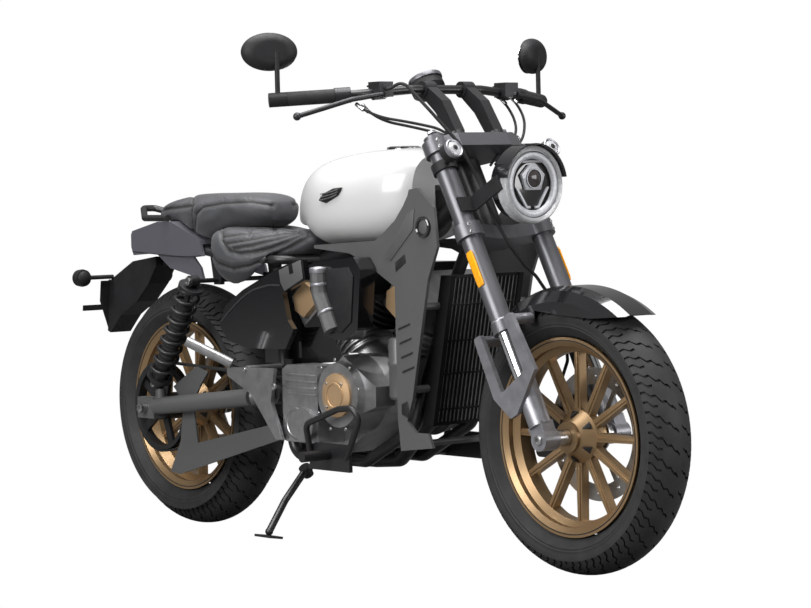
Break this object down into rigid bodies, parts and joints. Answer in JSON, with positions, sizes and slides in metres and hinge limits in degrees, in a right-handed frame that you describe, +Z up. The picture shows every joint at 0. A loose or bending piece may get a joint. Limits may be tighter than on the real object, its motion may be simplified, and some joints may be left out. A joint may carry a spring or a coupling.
{
  "type": "cruiser motorcycle",
  "caption": "Mid-size cruiser with a vee-twin engine, cast wheels, belt drive, low seat and pillion pad, leaning on its side stand.",
  "frame": {"origin": "centre of the bounding box on the ground plane, with the machine leaning on its side stand", "axes": "+X forward, +Y towards the rider's left as the machine is shown, +Z up; the machine leans 9 degrees towards -Y"},
  "size_m": [2.229, 0.9516, 1.3234],
  "materials": {
    "pearl_white": "pearl satin clear coat",
    "gunmetal": "satin metallic",
    "frame_black": "semi-gloss powder coat",
    "bronze": "satin metallic",
    "gloss_black": "high gloss",
    "tail_grey": "metallic gloss",
    "moulded_black": "fine grain",
    "cast_grey": "cast, satin",
    "satin_black_alloy": "satin black coating",
    "bright_chrome": "polished",
    "turned_steel": "turned",
    "brake_steel": "ground",
    "hose_rubber": "matte",
    "tyre_rubber": "matte tread compound",
    "seat_leather": "fine grain with stitching",
    "lens": "clear over bright optics"
  },
  "bodies": {
    "chassis": {"airbox": "gloss_black", "belt_guards": "moulded_black", "clutch_cap": "bronze", "cylinders": "cast_grey", "drive_belt": "hose_rubber", "engine_case": "cast_grey", "engine_covers": "gunmetal", "exhaust": "satin_black_alloy", "frame": "frame_black", "fuel_tank": "pearl_white", "grab_rail": "frame_black", "head_covers": "bronze", "passenger_footrests": "cast_grey", "passenger_seat": "seat_leather", "plate_holder": "moulded_black", "radiator": "satin_black_alloy", "radiator_shrouds": "gunmetal", "rear_axle": "turned_steel", "rear_caliper": "satin_black_alloy", "rear_lights": "moulded_black", "rear_shocks": "satin_black_alloy", "rider_footrests": "satin_black_alloy", "rider_seat": "seat_leather", "side_covers": "gloss_black", "swingarm": "gunmetal", "tail_cover": "tail_grey", "tank_cap": "gloss_black"},
    "steering": {"triple_clamps": "satin_black_alloy", "fork_tubes": "satin_black_alloy", "fork_stanchions": "bright_chrome", "fork_lugs": "cast_grey", "front_axle": "turned_steel", "front_mudguard": "gloss_black", "headlight": "lens", "headlight_bracket": "moulded_black", "front_signals": "moulded_black", "handlebar": "frame_black", "grips": "hose_rubber", "mirrors": "moulded_black", "hand_controls": "satin_black_alloy", "instrument": "moulded_black", "brake_hoses": "hose_rubber", "front_caliper": "satin_black_alloy"},
    "front_wheel": {"front_tyre": "tyre_rubber", "front_wheel": "bronze", "front_disc": "brake_steel"},
    "rear_wheel": {"rear_tyre": "tyre_rubber", "rear_wheel": "bronze", "rear_disc": "brake_steel", "rear_pulley": "satin_black_alloy"},
    "side_stand": {"side_stand": "frame_black"}
  },
  "joints": [
    {"name": "steering", "type": "hinge", "parent": "chassis", "child": "steering", "pos_m": [0.75742, 0.14487, 0.29751], "axis": [-0.4695, -0.1381, 0.8721], "range_deg": [-32, 32]},
    {"name": "front_wheel_spin", "type": "hinge", "parent": "steering", "child": "front_wheel", "pos_m": [0.7945, 0.14179, 0.31698], "axis": [0, 0.9877, 0.1564], "continuous": true},
    {"name": "rear_wheel_spin", "type": "hinge", "parent": "chassis", "child": "rear_wheel", "pos_m": [-0.7105, 0.14085, 0.32291], "axis": [0, 0.9877, 0.1564], "continuous": true},
    {"name": "side_stand_fold", "type": "hinge", "parent": "chassis", "child": "side_stand", "pos_m": [-0.0785, 0.03081, 0.17386], "axis": [-0.1049, 0.7195, -0.6866], "range_deg": [0, 100]}
  ]
}
